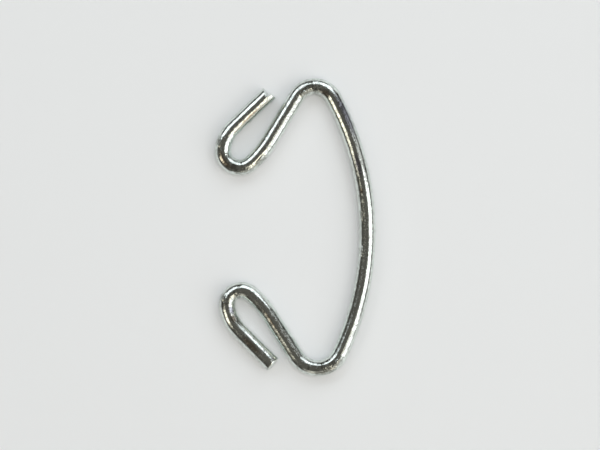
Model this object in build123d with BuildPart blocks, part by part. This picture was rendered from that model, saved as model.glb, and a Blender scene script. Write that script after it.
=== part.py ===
from build123d import *
from math import radians, tan
import os

# Retaining clip, bent from one length of bright zinc-plated spring wire.
# It lies flat on the XY plane, with the crown of the bow towards +X and the upper hook towards +Y.
# The wire runs tail, hook, arm, shoulder, bow, shoulder, arm, hook, tail.
# The route is laid out from the crown both ways, so that either end can change by itself.
# Pin radii are those on the inside of a bend, the other radii are those of the centre line.

# wire
wire_diameter = 1.42

# bow: one large arc, whose turn is counted from the crown both ways
bow_radius = 25.0
upper_bow_turn = 28.5
lower_bow_turn = 25.5

# shoulders: where the bow turns back into the arms
upper_shoulder_pin_radius = 1.15
upper_shoulder_turn = 120.1
lower_shoulder_pin_radius = 1.49
lower_shoulder_turn = 121.8

# arms: straight from the shoulder to where the hook begins
upper_arm_length = 4.6
lower_arm_length = 4.3

# hooks: an easy bend off the arm, the tight bend round the pin, an easy bend into the tail
upper_hook_entry_radius = 8.3
upper_hook_entry_turn = 18.3
upper_hook_pin_radius = 0.75
upper_hook_turn = 133.8
upper_hook_exit_radius = 2.94
upper_hook_exit_turn = 42.7
lower_hook_entry_radius = 8.8
lower_hook_entry_turn = 17.1
lower_hook_pin_radius = 0.56
lower_hook_turn = 139.3
lower_hook_exit_radius = 3.95
lower_hook_exit_turn = 35.7

# tails: straight from the hook to the furthest corner of the sheared end
upper_tail_length = 4.55
lower_tail_length = 4.24

# sheared ends: the blade cuts part of the way, and on the upper end the rest breaks off proud
upper_shear_share = 0.6
upper_shear_skew = 12.5
upper_break_skew = 8.5
upper_break_height = 0.3
lower_shear_skew = 4.0
shear_lean = 8.0
break_lean = 2.0
end_rim_radius = 0.05

wire_radius = wire_diameter / 2
# the tails are swept up to this far from their tips, and the sheared ends are joined on there
end_length = wire_diameter


def bend(previous, radius, turn):
    """One bend, tangent to the edge before it; a positive turn is anticlockwise."""
    return JernArc(start=previous @ 1, tangent=previous % 1, radius=radius, arc_size=turn)


def run(previous, length):
    """One straight run, in line with the end of the edge before it."""
    return Line(previous @ 1, previous @ 1 + previous % 1 * length)


def lay_out_wire(crown, missing):
    """Centre line on a plane whose origin is the crown, with this length missing from both tails."""
    with BuildLine(crown) as route:
        bow = JernArc(start=(0, 0), tangent=(0, 1), radius=bow_radius, arc_size=upper_bow_turn)
        shoulder = bend(bow, upper_shoulder_pin_radius + wire_radius, upper_shoulder_turn)
        arm = run(shoulder, upper_arm_length)
        entry = bend(arm, upper_hook_entry_radius, -upper_hook_entry_turn)
        hook = bend(entry, upper_hook_pin_radius + wire_radius, -upper_hook_turn)
        leave = bend(hook, upper_hook_exit_radius, -upper_hook_exit_turn)
        upper_tail = run(leave, upper_tail_length - missing)

        bow = JernArc(start=(0, 0), tangent=(0, -1), radius=bow_radius, arc_size=-lower_bow_turn)
        shoulder = bend(bow, lower_shoulder_pin_radius + wire_radius, -lower_shoulder_turn)
        arm = run(shoulder, lower_arm_length)
        entry = bend(arm, lower_hook_entry_radius, lower_hook_entry_turn)
        hook = bend(entry, lower_hook_pin_radius + wire_radius, lower_hook_turn)
        leave = bend(hook, lower_hook_exit_radius, lower_hook_exit_turn)
        lower_tail = run(leave, lower_tail_length - missing)
    return route.wire(), upper_tail, lower_tail


def blade_at(tail, place, lean):
    """Where an end face stands: at a place seen from above, measured from the tip of a tail.

    Its x points out along the wire, its y to the wire's left, and its z leans back over the tail.
    """
    tip = tail @ 1 + tail % 1 * end_length
    level = Plane(origin=tip, x_dir=tail % 1, z_dir=(0, 0, 1)).location
    return level * Rotation(0, -lean, 0) * Pos(*place)


def end_stub(tail, place, skew, lean):
    """Last of a tail, ended through one place at one skew and one lean, with its rim eased."""
    face = Plane(blade_at(tail, place, lean) * Rotation(0, 0, skew) * Rotation(0, 90, 0))
    with BuildPart() as stub:
        with BuildSketch(Plane(origin=tail @ 1, z_dir=tail % 1)):
            Circle(wire_radius)
        extrude(amount=end_length + wire_radius)
        split(bisect_by=face, keep=Keep.BOTTOM)
        rim = stub.faces().filter_by(GeomType.PLANE).sort_by(Axis(tail @ 1, tail % 1))[-1].edges()
        fillet(rim, radius=end_rim_radius)
    return stub.part


# the origin is under the middle of the clip, on the surface that it lies on
finished_route, _, _ = lay_out_wire(Plane.XY, 0)
middle = finished_route.bounding_box().center()
crown = Plane(origin=(-middle.X, -middle.Y, wire_radius))

swept_route, upper_tail, lower_tail = lay_out_wire(crown, end_length)

# lower end: one cut face, furthest out on the outer side
lower_end = end_stub(lower_tail, (0, -wire_radius), lower_shear_skew, shear_lean)

# upper end: beside the tail's furthest corner the broken face, then the step, then the cut face
step_place = wire_radius - upper_shear_share * wire_diameter
break_depth = (wire_radius + step_place) * tan(radians(upper_break_skew))
cut_place = (-break_depth - upper_break_height, step_place)
broken_end = end_stub(upper_tail, (0, -wire_radius), upper_break_skew, break_lean)
cut_end = end_stub(upper_tail, cut_place, -upper_shear_skew, shear_lean)
step_plane = Plane(blade_at(upper_tail, cut_place, shear_lean) * Rotation(-90, 0, 0))
with BuildPart() as upper_end:
    add(broken_end)
    split(bisect_by=step_plane, keep=Keep.BOTTOM)
    add(split(cut_end, bisect_by=step_plane, keep=Keep.TOP, mode=Mode.PRIVATE))

with BuildPart() as retaining_clip:
    with BuildSketch(Plane(origin=upper_tail @ 1, z_dir=upper_tail % 1)):
        Circle(wire_radius)
    sweep(path=swept_route)
    add(upper_end.part)
    add(lower_end)
retaining_clip.part.label = "retaining_clip"

os.makedirs("parts", exist_ok=True)
export_step(retaining_clip.part, "parts/retaining_clip.step")

size = retaining_clip.part.bounding_box().size
print(f"size {size.X:.2f} x {size.Y:.2f} x {size.Z:.2f} mm, volume {retaining_clip.part.volume:.2f} mm3")
print(f"wire length {finished_route.length:.2f} mm")
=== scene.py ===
import math

import bmesh
import bpy
import numpy as np
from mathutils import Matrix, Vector


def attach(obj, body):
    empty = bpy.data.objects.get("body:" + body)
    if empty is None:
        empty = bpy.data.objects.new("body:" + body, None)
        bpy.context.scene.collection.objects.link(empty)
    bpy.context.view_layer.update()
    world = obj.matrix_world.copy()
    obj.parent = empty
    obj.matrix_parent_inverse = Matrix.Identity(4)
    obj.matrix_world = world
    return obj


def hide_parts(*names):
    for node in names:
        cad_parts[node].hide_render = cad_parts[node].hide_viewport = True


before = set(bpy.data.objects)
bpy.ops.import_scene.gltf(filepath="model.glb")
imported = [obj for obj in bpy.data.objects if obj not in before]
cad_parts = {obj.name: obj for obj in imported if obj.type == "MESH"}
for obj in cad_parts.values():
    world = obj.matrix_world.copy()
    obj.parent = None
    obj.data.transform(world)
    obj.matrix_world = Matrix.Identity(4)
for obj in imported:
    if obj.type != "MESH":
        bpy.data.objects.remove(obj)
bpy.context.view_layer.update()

mm = 0.001    # the script thinks in millimetres, Blender in metres


def linearColour(hexColour):
    values = [int(hexColour[i:i + 2], 16) / 255 for i in (1, 3, 5)]
    return [v / 12.92 if v <= 0.04045 else ((v + 0.055) / 1.055) ** 2.4 for v in values] + [1.0]


def addNode(tree, kind, settings=None, links=None):
    # settings and links go to sockets by name or number, other names are the node's own settings
    node = tree.nodes.new(kind)
    for key, value in (settings or {}).items():
        if isinstance(key, int) or key in node.inputs:
            node.inputs[key].default_value = value
        else:
            setattr(node, key, value)
    for key, source in (links or {}).items():
        tree.links.new(source, node.inputs[key])
    return node


# one length of wire, in mm and degrees
wire = {
    "diameter": 1.42,
    "around": 96,          # faces round the wire
    "step": 0.2,           # longest face along the wire
    "turnStep": 4,         # most bend in one face
    "stub": 1.0,           # last length of each tail, left in one piece for the shear
    "ringSlack": 0.001,    # how far from a ring's plane its points may be
    "claim": 0.1,          # how far past its two ends a bend or run may claim points as its own
    "smoothAngle": 40,     # edges sharper than this stay sharp
    "crown": (6.3844, -0.4429),    # centre of the wire at the middle of the bow
    # from the crown outwards: ("bend", centre line radius, turn in degrees) or ("run", length)
    "upper": [
        ("bend", 25.0, 28.5),      # bow
        ("bend", 1.86, 120.1),     # shoulder
        ("run", 4.6),              # arm
        ("bend", 8.3, -18.3),      # into the hook
        ("bend", 1.46, -133.8),    # hook
        ("bend", 2.94, -42.7),     # out of the hook
        ("run", 4.55),             # tail
    ],
    "lower": [
        ("bend", 25.0, -25.5),
        ("bend", 2.2, -121.8),
        ("run", 4.3),
        ("bend", 8.8, 17.1),
        ("bend", 1.27, 139.3),
        ("bend", 3.95, 35.7),
        ("run", 4.24),
    ],
}

# the sheared ends, in mm and degrees: on the upper one the blade cut part of the way, and the rest
# broke off proud
shear = {
    "cutLean": 8,          # how far a cut face leans back at the top
    "cutSkew": 12.5,       # how far it turns away from square, seen from above
    "share": 0.6,          # part of the upper tail that the blade cut
    "breakLean": 2,
    "breakSkew": 8.5,
    "breakHeight": 0.3,    # how far the broken part stands proud
    "lowerSkew": 4,
    "rim": 0.05,           # radius of the rim all round
    "rollOver": 0.13,      # radius where the blade came in, at the top
    "segments": 4,         # faces across a rounded rim
    "facesOut": 0.8,       # a face whose normal points this much along the tail is an end face
    "rimFrom": 0.49,       # the rim's edges are further out than this part of the diameter
    "reach": 0.4,          # how far the cutters go past the wire
}


def selectRing(place, heading):
    # the ring of vertices round this point of the centre line
    along = Vector((math.cos(heading), math.sin(heading), 0))
    bm = bmesh.from_edit_mesh(bpy.context.object.data)
    for v in bm.verts:
        away = v.co / mm - place
        v.select_set(abs(away.dot(along)) < wire["ringSlack"] and away.length < wire["diameter"])
    bm.select_flush(True)
    bm.select_flush(False)
    bmesh.update_edit_mesh(bpy.context.object.data)


def selectRuns():
    # the long edges from the selected ring back to the one before it
    bm = bmesh.from_edit_mesh(bpy.context.object.data)
    runs = [e for v in bm.verts if v.select for e in v.link_edges if not e.other_vert(v).select]
    bpy.ops.mesh.select_all(action="DESELECT")
    for e in runs:
        e.select_set(True)
    bmesh.update_edit_mesh(bpy.context.object.data)


def bendWire(place, heading, route):
    # spins and pushes a ring along the route from this point, and gives where it ends and its heading
    stub = ("run", wire["stub"] + shear["reach"] / 2)
    for step in route[:-1] + [("run", route[-1][1] - wire["stub"]), stub]:
        selectRing(place, heading)
        if step[0] == "bend":
            radius, turn = step[1], math.radians(step[2])
            side = math.copysign(1, turn)
            centre = place + Vector((-math.sin(heading), math.cos(heading), 0)) * radius * side
            count = math.ceil(max(abs(turn) * radius / wire["step"], abs(step[2]) / wire["turnStep"]))
            # the spin operator turns clockwise for a positive angle
            bpy.ops.mesh.spin(steps=count, angle=-turn, center=centre * mm, axis=(0, 0, 1))
            heading += turn
            place = centre + Vector((math.sin(heading), -math.cos(heading), 0)) * radius * side
        else:
            push = Vector((math.cos(heading), math.sin(heading), 0)) * step[1]
            bpy.ops.mesh.extrude_region_move(TRANSFORM_OT_translate={"value": push * mm})
            if step is not stub:
                selectRuns()
                bpy.ops.mesh.subdivide(number_cuts=round(step[1] / wire["step"]) - 1)
            place = place + push
    selectRing(place, heading)
    bpy.ops.mesh.edge_face_add()
    return place - push.normalized() * shear["reach"] / 2, heading


def shearFrame(heading, lean):
    # out along the tail, across it to its left, and up the blade, which leans back over the tail
    lean = math.radians(lean)
    out = Vector((math.cos(heading) * math.cos(lean), math.sin(heading) * math.cos(lean),
                  math.sin(lean)))
    across = Vector((-math.sin(heading), math.cos(heading), 0))
    return out, across, out.cross(across)


def shearEnd(clip, tip, heading, lean, outline):
    # takes off what lies inside this outline, which is in mm out from the tip and across the tail
    out, across, up = shearFrame(heading, lean)
    corners = [tip + out * x + across * y - up * wire["diameter"] for x, y in outline]
    bpy.ops.object.select_all(action="DESELECT")
    # a small plane, merged to one point at the first corner, from where the outline is drawn
    bpy.ops.mesh.primitive_plane_add(size=0.1 * mm, location=corners[0] * mm)
    cutter = bpy.context.object
    bpy.ops.object.transform_apply()
    bpy.ops.object.mode_set(mode="EDIT")
    bpy.ops.mesh.select_all(action="SELECT")
    bpy.ops.mesh.merge(type="CENTER")
    for here, there in zip(corners, corners[1:]):
        bpy.ops.mesh.extrude_region_move(TRANSFORM_OT_translate={"value": (there - here) * mm})
    bpy.ops.mesh.select_all(action="SELECT")
    bpy.ops.mesh.edge_face_add()
    bpy.ops.mesh.extrude_region_move(TRANSFORM_OT_translate={"value": up * 2 * wire["diameter"] * mm})
    bpy.ops.mesh.select_all(action="SELECT")
    bpy.ops.mesh.normals_make_consistent(inside=False)
    bpy.ops.object.mode_set(mode="OBJECT")
    bpy.ops.object.select_all(action="DESELECT")
    bpy.context.view_layer.objects.active = clip
    clip.select_set(True)
    cut = clip.modifiers.new("shear", "BOOLEAN")
    cut.object = cutter
    bpy.ops.object.modifier_apply(modifier="shear")
    bpy.data.objects.remove(cutter)


def shearTails(clip, upperEnd, lowerEnd):
    radius, reach = wire["diameter"] / 2, shear["reach"]
    side = radius + reach
    cutSlope, breakSlope, lowerSlope = (math.tan(math.radians(shear[key]))
                                        for key in ("cutSkew", "breakSkew", "lowerSkew"))
    stepSide = radius - shear["share"] * wire["diameter"]
    stepTop = -(radius + stepSide) * breakSlope
    stepFoot = stepTop - shear["breakHeight"]
    # the second cutter runs on into the gap that the first one left, so no fin stands between them
    gapSide = stepSide + shear["breakHeight"] / 2
    gapTop = -(radius + gapSide) * breakSlope
    broken = [(reach * breakSlope, -side), (gapTop, gapSide), (reach, gapSide), (reach, -side)]
    cutFoot = stepFoot + (side - stepSide) * cutSlope
    cut = [(stepFoot, stepSide), (cutFoot, side), (reach, side), (reach, stepSide)]
    lowerFoot = -(radius + side) * lowerSlope
    lower = [(reach * lowerSlope, -side), (lowerFoot, side), (reach, side), (reach, -side)]
    shearEnd(clip, *upperEnd, shear["cutLean"], cut)
    shearEnd(clip, *upperEnd, shear["breakLean"], broken)
    shearEnd(clip, *lowerEnd, shear["cutLean"], lower)
    easeRim(clip, *upperEnd, shear["cutLean"], stepSide, radius, shear["rollOver"])
    easeRim(clip, *upperEnd, shear["breakLean"], -radius, stepSide, shear["rim"])
    easeRim(clip, *lowerEnd, shear["cutLean"], -radius, radius, shear["rollOver"])


def easeRim(clip, tip, heading, lean, low, high, topRadius):
    # rounds the rim between two places across the tail, by a radius that grows towards the top
    out, across, up = shearFrame(heading, lean)
    bpy.ops.object.mode_set(mode="EDIT")
    bpy.ops.mesh.select_mode(type="EDGE")
    bpy.ops.mesh.select_all(action="DESELECT")
    bm = bmesh.from_edit_mesh(clip.data)
    layers = bm.edges.layers.float
    weights = layers.get("bevel_weight_edge") or layers.new("bevel_weight_edge")
    bm.edges.ensure_lookup_table()
    for e in bm.edges:
        middle = (e.verts[0].co + e.verts[1].co) / 2 / mm - tip
        e[weights] = 0
        if middle.length < wire["diameter"] and len(e.link_faces) == 2:
            facing = [f.normal.dot(out) > shear["facesOut"] for f in e.link_faces]
            fromAxis = Vector((middle.dot(across), middle.z)).length
            onRim = fromAxis > shear["rimFrom"] * wire["diameter"] and facing[0] != facing[1]
            if onRim and low < middle.dot(across) < high:
                height = max(0, middle.z / fromAxis)
                radius = shear["rim"] + (topRadius - shear["rim"]) * height ** 2
                e[weights] = radius / topRadius
    bmesh.update_edit_mesh(clip.data)
    bpy.ops.object.mode_set(mode="OBJECT")
    rounding = clip.modifiers.new("rim", "BEVEL")
    rounding.limit_method = "WEIGHT"
    rounding.width = topRadius * mm
    rounding.segments = shear["segments"]
    rounding.use_clamp_overlap = False
    bpy.ops.object.modifier_apply(modifier="rim")


def makeWire():
    radius = wire["diameter"] / 2
    crown = Vector((*wire["crown"], radius))
    bpy.ops.object.select_all(action="DESELECT")
    bpy.ops.mesh.primitive_circle_add(vertices=wire["around"], radius=radius * mm,
                                      location=crown * mm, rotation=(math.pi / 2, 0, 0))
    clip = bpy.context.object
    clip.name = "clipWire"
    bpy.ops.object.transform_apply()
    bpy.ops.object.mode_set(mode="EDIT")
    bpy.ops.mesh.select_mode(type="VERT")
    bpy.ops.mesh.select_all(action="SELECT")
    upperEnd = bendWire(crown, math.pi / 2, wire["upper"])
    lowerEnd = bendWire(crown, -math.pi / 2, wire["lower"])
    bpy.ops.mesh.select_all(action="SELECT")
    bpy.ops.mesh.normals_make_consistent(inside=False)
    bpy.ops.object.mode_set(mode="OBJECT")
    print("wire bent:", len(clip.data.vertices), "vertices")
    shearTails(clip, upperEnd, lowerEnd)
    bpy.ops.object.shade_smooth_by_angle(angle=math.radians(wire["smoothAngle"]))
    print("ends sheared:", len(clip.data.vertices), "vertices")
    return clip


def layPlaces(clip):
    # gives each vertex its place on the wire in mm: along it from the crown, to its left, and up
    count = len(clip.data.vertices)
    spots = np.empty(count * 3)
    clip.data.vertices.foreach_get("co", spots)
    spots = spots.reshape(count, 3) / mm
    best = np.full(count, np.inf)
    places = np.zeros((count, 3))
    places[:, 2] = spots[:, 2] - wire["diameter"] / 2
    claim = wire["claim"]
    for route, way in (("upper", 1), ("lower", -1)):
        here, heading, gone = np.array(wire["crown"]), way * math.pi / 2, 0.0
        for step in wire[route]:
            ahead = np.array((math.cos(heading), math.sin(heading)))
            left = np.array((-ahead[1], ahead[0]))
            if step[0] == "bend":
                radius, turn = step[1], math.radians(step[2])
                side = math.copysign(1, turn)
                centre = here + left * radius * side
                away = spots[:, :2] - centre
                swing = np.arctan2(away @ ahead, -(away @ left) * side)
                length = abs(turn) * radius
                along = np.clip(swing * radius, 0, length)
                across = (radius - np.linalg.norm(away, axis=1)) * side
                inside = (swing * radius > -claim) & (swing * radius < length + claim)
                heading += turn
                here = centre + np.array((math.sin(heading), -math.cos(heading))) * radius * side
            else:
                away = spots[:, :2] - here
                length = step[1]
                along = np.clip(away @ ahead, 0, length)
                across = away @ left
                inside = (away @ ahead > -claim) & (away @ ahead < length + claim)
                here = here + ahead * length
            near = inside & (np.abs(across) < best) & (np.abs(across) < wire["diameter"])
            best[near] = np.abs(across[near])
            places[near, 0] = way * (gone + along[near])
            places[near, 1] = way * across[near]
            gone += length
    attribute = clip.data.attributes.new("wirePlace", "FLOAT_VECTOR", "POINT")
    attribute.data.foreach_set("vector", places.ravel())
    print("wire measured:", round(places[:, 0].min(), 2), "to", round(places[:, 0].max(), 2), "mm")


# bright zinc and what has happened to it
zinc = {
    "plate": "#EDF4EF",
    "dull": "#92958F",
    "brown": "#94806A",
    "violet": "#8C8BA2",
    # half a wave along the wire and across it in mm, and how many finer waves ride on it
    "patterns": {
        # plating grain, really about 0.02, drawn as coarse as it needs to be to show
        "grain": (0.13, 0.13, 2.0),
        "ripple": (0.45, 0.32, 1.0),      # waves that drawing and bending left in the wire
        "drawLines": (3.0, 0.09, 1.0),    # lines that the drawing die left along it
        "cracks": (0.10, 0.6, 1.0),       # fine lines across it where the plate was stretched
        "dents": (0.2, 0.14, 2.0),        # what the bending tools left
        "wear": (0.9, 0.35, 3.0),         # patches that handling has dulled
    },
    "noiseScale": 0.5,     # a noise of this scale has one wave every two units
    "finerWaves": 0.6,     # height of each finer wave, as a part of the one before
    # pattern, the marks that it keeps to, and its height in mm
    "heights": [
        ("grain", None, 0.009),
        ("ripple", None, 0.016),
        ("drawLines", None, 0.004),
        ("drawLines", "drawn", 0.014),
        ("cracks", "stretched", 0.022),
        ("dents", "scuffed", 0.11),
    ],
    # pattern, the marks that it keeps to, the pattern's values where the dull colour begins and
    # is fullest, and how much of it there is then
    "dulling": [
        ("wear", None, 0.45, 0.75, 0.4),
        ("grain", None, 0.44, 0.68, 0.57),
        ("cracks", "stretched", 0.45, 0.6, 0.7),
    ],
    "scuffDulling": 0.4,          # dull colour that a scuff adds
    "tinting": 0.65,              # how much of a tint there is in the middle of its marks
    "roughness": (0.09, 0.3),     # from the smooth grains to the rough ones
    "grainRange": (0.35, 0.7),    # the grain pattern's values in those two
    "scuffRoughness": 0.12,       # roughness that a scuff adds
    "core": 0.3,                  # part of a mark, from its middle, before it starts to fade
    # each mark is its place along the wire from the crown and across it to the left, then its
    # half length and half width, all in mm
    "marks": {
        "scuffed": [
            (27.7, 0.45, 0.7, 0.35), (22.7, 0.5, 1.0, 0.3), (24.4, 0.45, 0.9, 0.25),
            (15.4, 0.35, 0.9, 0.35), (14.2, 0.5, 0.6, 0.25), (1.6, 0.5, 0.8, 0.12),
            (-1.7, 0.45, 0.6, 0.12), (-11.7, -0.25, 0.7, 0.3), (-12.9, -0.5, 1.3, 0.18),
            (-25.1, 0.5, 0.4, 0.25), (-24.0, -0.5, 0.5, 0.2),
        ],
        "stretched": [
            (25.2, 0, 2.8, 0.8), (14.3, 0, 2.2, 0.8), (-13.4, 0, 2.6, 0.8), (-25.3, 0, 2.2, 0.8),
        ],
        "drawn": [(-13.4, 0.2, 2.8, 0.4), (-19.8, 0.35, 2.6, 0.2), (8.5, -0.2, 4.5, 0.4)],
        "brownish": [
            (13.2, 0.3, 0.8, 0.4), (3.7, 0.25, 0.35, 0.2), (-19.8, -0.2, 1.8, 0.12),
            (-27.0, -0.2, 0.5, 0.3), (31.0, -0.3, 1.6, 0.12), (-29.8, 0.15, 1.5, 0.35),
            (26.0, 0.2, 1.2, 0.3),
        ],
        "bluish": [(10.6, -0.3, 2.8, 0.4), (-26.2, -0.3, 0.5, 0.3), (6.0, 0.1, 1.5, 0.3)],
    },
}


def markMask(tree, place, marks):
    # 1 in the middle of each mark, fading to 0 at its edge
    total = None
    for along, across, length, width in marks:
        centred = {"Location": (-along / length, -across / width, 0),
                   "Scale": (1 / length, 1 / width, 0)}
        local = addNode(tree, "ShaderNodeMapping", centred, {"Vector": place})
        away = addNode(tree, "ShaderNodeVectorMath", {"operation": "LENGTH"}, {0: local.outputs[0]})
        fading = {"interpolation_type": "SMOOTHSTEP", "From Min": 1.0, "From Max": zinc["core"]}
        fade = addNode(tree, "ShaderNodeMapRange", fading, {"Value": away.outputs["Value"]})
        if total is None:
            total = fade.outputs[0]
        else:
            total = addNode(tree, "ShaderNodeMath", {"operation": "MAXIMUM"},
                            {0: total, 1: fade.outputs[0]}).outputs[0]
    return total


def brightZinc():
    # bright zinc plate under a clear blue passivate, on drawn spring wire: a cool mirror whose
    # streaks waver with the wire's ripples and break up over the plating grain, duller and scuffed
    # where tools have held it
    material = bpy.data.materials.new("brightZincPlate")
    material.use_nodes = True
    tree = material.node_tree
    shader = tree.nodes["Principled BSDF"]
    place = addNode(tree, "ShaderNodeAttribute", {"attribute_name": "wirePlace"}).outputs["Vector"]

    waves = {}
    for name, (along, across, detail) in zinc["patterns"].items():
        scaled = addNode(tree, "ShaderNodeMapping", {"Scale": (1 / along, 1 / across, 1 / across)},
                         {"Vector": place})
        noise = {"Scale": zinc["noiseScale"], "Detail": detail, "Roughness": zinc["finerWaves"]}
        texture = addNode(tree, "ShaderNodeTexNoise", noise, {"Vector": scaled.outputs[0]})
        waves[name] = texture.outputs["Fac"]
    masks = {name: markMask(tree, place, marks) for name, marks in zinc["marks"].items()}

    heights = []
    for name, mark, rise in zinc["heights"]:
        part = addNode(tree, "ShaderNodeMath", {"operation": "MULTIPLY", 1: rise}, {0: waves[name]})
        if mark:
            part = addNode(tree, "ShaderNodeMath", {"operation": "MULTIPLY"},
                           {0: part.outputs[0], 1: masks[mark]})
        heights.append(part.outputs[0])
    height = heights[0]
    for part in heights[1:]:
        height = addNode(tree, "ShaderNodeMath", {"operation": "ADD"},
                         {0: height, 1: part}).outputs[0]
    bump = addNode(tree, "ShaderNodeBump", {"Distance": mm, "Strength": 1.0}, {"Height": height})

    causes = []
    for name, mark, begins, fullest, most in zinc["dulling"]:
        spread = {"From Min": begins, "From Max": fullest, "To Max": most}
        cause = addNode(tree, "ShaderNodeMapRange", spread, {"Value": waves[name]})
        if mark:
            cause = addNode(tree, "ShaderNodeMath", {"operation": "MULTIPLY"},
                            {0: cause.outputs[0], 1: masks[mark]})
        causes.append(cause.outputs[0])
    dulled = causes[0]
    for cause in causes[1:]:
        dulled = addNode(tree, "ShaderNodeMath", {"operation": "MAXIMUM"},
                         {0: dulled, 1: cause}).outputs[0]
    dulled = addNode(tree, "ShaderNodeMath", {"operation": "MULTIPLY_ADD", 1: zinc["scuffDulling"]},
                     {0: masks["scuffed"], 2: dulled})
    shades = {"data_type": "RGBA", 6: linearColour(zinc["plate"]), 7: linearColour(zinc["dull"])}
    colour = addNode(tree, "ShaderNodeMix", shades, {0: dulled.outputs[0]})
    for tint, mark in (("brown", "brownish"), ("violet", "bluish")):
        amount = addNode(tree, "ShaderNodeMath", {"operation": "MULTIPLY", 1: zinc["tinting"]},
                         {0: masks[mark]})
        colour = addNode(tree, "ShaderNodeMix", {"data_type": "RGBA", 7: linearColour(zinc[tint])},
                         {0: amount.outputs[0], 6: colour.outputs[2]})

    smoothest, roughest = zinc["roughness"]
    low, high = zinc["grainRange"]
    grains = {"From Min": low, "From Max": high, "To Min": smoothest, "To Max": roughest}
    roughness = addNode(tree, "ShaderNodeMapRange", grains, {"Value": waves["grain"]})
    roughness = addNode(tree, "ShaderNodeMath",
                        {"operation": "MULTIPLY_ADD", 1: zinc["scuffRoughness"]},
                        {0: masks["scuffed"], 2: roughness.outputs[0]})

    shader.inputs["Metallic"].default_value = 1.0
    tree.links.new(colour.outputs[2], shader.inputs["Base Color"])
    tree.links.new(roughness.outputs[0], shader.inputs["Roughness"])
    tree.links.new(bump.outputs[0], shader.inputs["Normal"])
    return material


clip = makeWire()
layPlaces(clip)
clip.data.materials.append(brightZinc())
print("wire plated:", len(clip.data.materials[0].node_tree.nodes), "nodes")
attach(clip, "root")
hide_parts("retaining_clip")

board = {"size": 6, "colour": "#E8EAEB", "roughness": 0.3}    # size in metres


def satinBoard():
    # white board with a satin coat: even and pale, with a broad soft gloss under the clip
    material = bpy.data.materials.new("satinBoard")
    material.use_nodes = True
    shader = material.node_tree.nodes["Principled BSDF"]
    shader.inputs["Roughness"].default_value = board["roughness"]
    shader.inputs["Base Color"].default_value = linearColour(board["colour"])
    return material


def makeFloor():
    bpy.ops.object.select_all(action="DESELECT")
    bpy.ops.mesh.primitive_plane_add(size=board["size"])
    floor = bpy.context.object
    floor.name = "floor"
    floor.data.materials.append(satinBoard())


# azimuth and elevation of each soft box from the clip in degrees, its width and height as seen from
# there in degrees, how bright it is, and its colour
softBoxes = {
    "rightBox": (-3, 41, 32, 47, 1.8, "#FFFFFF"),
    "lowRightBox": (-28, 29, 20, 44, 1.5, "#FFFFFF"),
    "rightEdgeBox": (22, 30, 12, 24, 0.5, "#FFFFFF"),
    "farLowBox": (48, 8, 24, 16, 0.55, "#FFFFFF"),
    "topRightBox": (67, 36, 52, 36, 1.85, "#F4FAFF"),
    "topLeftBox": (129, 41, 52, 30, 1.8, "#F4FAFF"),
    "leftStrip": (203, 39, 19, 32, 1.8, "#FFF6E2"),
    "frontBox": (284, 19, 76, 38, 0.5, "#FFF8EC"),
    "highFrontBox": (315, 52, 20, 32, 1.85, "#FFF4E0"),
}
boxDistance = 0.6    # metres


def makeLamp(name, box):
    azimuth, elevation, width, height = (math.radians(angle) for angle in box[:4])
    glow, colour = box[4:]
    towards = Vector((math.cos(azimuth) * math.cos(elevation),
                      math.sin(azimuth) * math.cos(elevation), math.sin(elevation)))
    lamp = bpy.data.lights.new(name, "AREA")
    lamp.shape = "RECTANGLE"
    # a strip of sky of this width in azimuth is narrower the higher it stands
    lamp.size = 2 * boxDistance * math.tan(width / 2) * math.cos(elevation)
    lamp.size_y = 2 * boxDistance * math.tan(height / 2)
    lamp.energy = glow * math.pi * lamp.size * lamp.size_y
    lamp.color = linearColour(colour)[:3]
    holder = bpy.data.objects.new(name, lamp)
    holder.location = towards * boxDistance
    holder.rotation_euler = (-towards).to_track_quat("-Z", "Y").to_euler()
    holder.visible_camera = False
    bpy.context.scene.collection.objects.link(holder)


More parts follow.
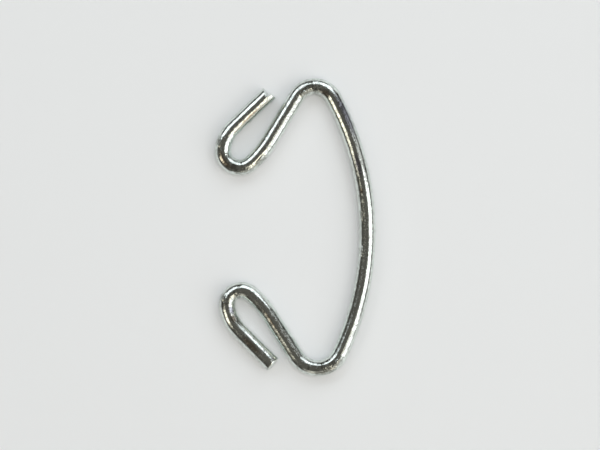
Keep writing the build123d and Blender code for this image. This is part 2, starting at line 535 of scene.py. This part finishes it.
# an even light from above, where the camera's own body stands in the way of a mirror image; its size
# and height are in metres, and a white floor under it renders at this level
overheadFill = {"size": 0.5, "height": 0.9, "level": 0.32}


def makeFill(fill):
    lamp = bpy.data.lights.new("overheadFill", "AREA")
    lamp.size = fill["size"]
    lamp.energy = fill["level"] * (math.pi * fill["height"]) ** 2
    holder = bpy.data.objects.new("overheadFill", lamp)
    holder.location = (0, 0, fill["height"])
    holder.visible_camera = False
    holder.visible_glossy = False
    bpy.context.scene.collection.objects.link(holder)


# the dim warm room round the lamps: dark low down, and at its lightest from this height up, where
# 0 is level with the clip and 1 is straight above
room = {"low": "#3C3A36", "high": "#57544F", "highFrom": 0.8}


def makeRoom():
    world = bpy.data.worlds.new("room")
    bpy.context.scene.world = world
    world.use_nodes = True
    tree = world.node_tree
    place = addNode(tree, "ShaderNodeTexCoord")
    parts = addNode(tree, "ShaderNodeSeparateXYZ", links={"Vector": place.outputs["Generated"]})
    ramp = addNode(tree, "ShaderNodeValToRGB", links={"Fac": parts.outputs["Z"]})
    low, high = ramp.color_ramp.elements
    low.color = linearColour(room["low"])
    high.position = room["highFrom"]
    high.color = linearColour(room["high"])
    tree.links.new(ramp.outputs["Color"], tree.nodes["Background"].inputs["Color"])


makeFloor()
makeFill(overheadFill)
for name, box in softBoxes.items():
    makeLamp(name, box)
makeRoom()
print("studio lit:", len(softBoxes), "soft boxes and a fill")

# straight down, as in the photograph; the picture's width, its middle, the lens and the sensor are in
# mm, and the last is in metres
view = {"width": 53.05, "x": 0.422, "y": 0.190, "lens": 200, "sensor": 36, "clipStart": 0.01}
camera = bpy.data.cameras.new("camera")
camera.lens = view["lens"]
camera.sensor_width = view["sensor"]
camera.clip_start = view["clipStart"]
holder = bpy.data.objects.new("camera", camera)
height = view["width"] * view["lens"] / view["sensor"] + wire["diameter"] / 2
holder.location = (view["x"] * mm, view["y"] * mm, height * mm)
bpy.context.scene.collection.objects.link(holder)
bpy.context.scene.camera = holder
bpy.context.scene.view_settings.view_transform = "Standard"
print("camera set:", round(height), "mm above the floor")
